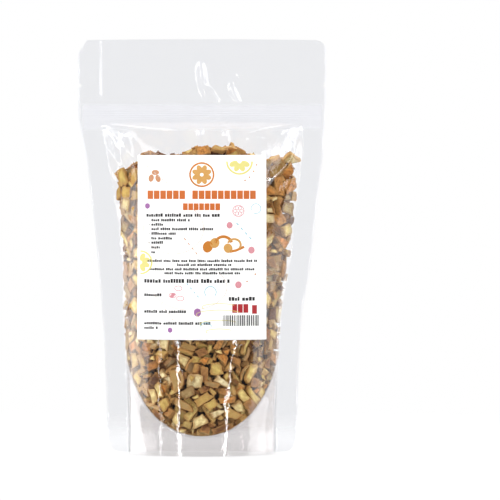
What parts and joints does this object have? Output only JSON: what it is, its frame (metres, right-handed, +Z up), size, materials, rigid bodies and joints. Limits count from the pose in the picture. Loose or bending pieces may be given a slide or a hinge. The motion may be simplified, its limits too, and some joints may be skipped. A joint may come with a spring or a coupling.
{
  "type": "pouch of dried orange peel",
  "caption": "Clear stand-up pouch with a zip and a paper label, filled with dried, chopped orange peel; it stands on its gusset's skirts.",
  "frame": {"origin": "centre of the standing pouch's footprint, on the surface it stands on", "axes": "+Z up, the label faces -Y, the side seals lie along X"},
  "size_m": [0.13, 0.0626, 0.22],
  "materials": {
    "clear_film": "clear glossy film",
    "zip_plastic": "milky extruded plastic",
    "label_paper": "white coated paper with printed fields",
    "dried_peel": "dry pith and rind, cream to orange brown"
  },
  "bodies": {
    "root": {"pouch": "clear_film", "zip_track_front": "zip_plastic", "zip_track_back": "zip_plastic", "label": "label_paper"}
  },
  "joints": []
}
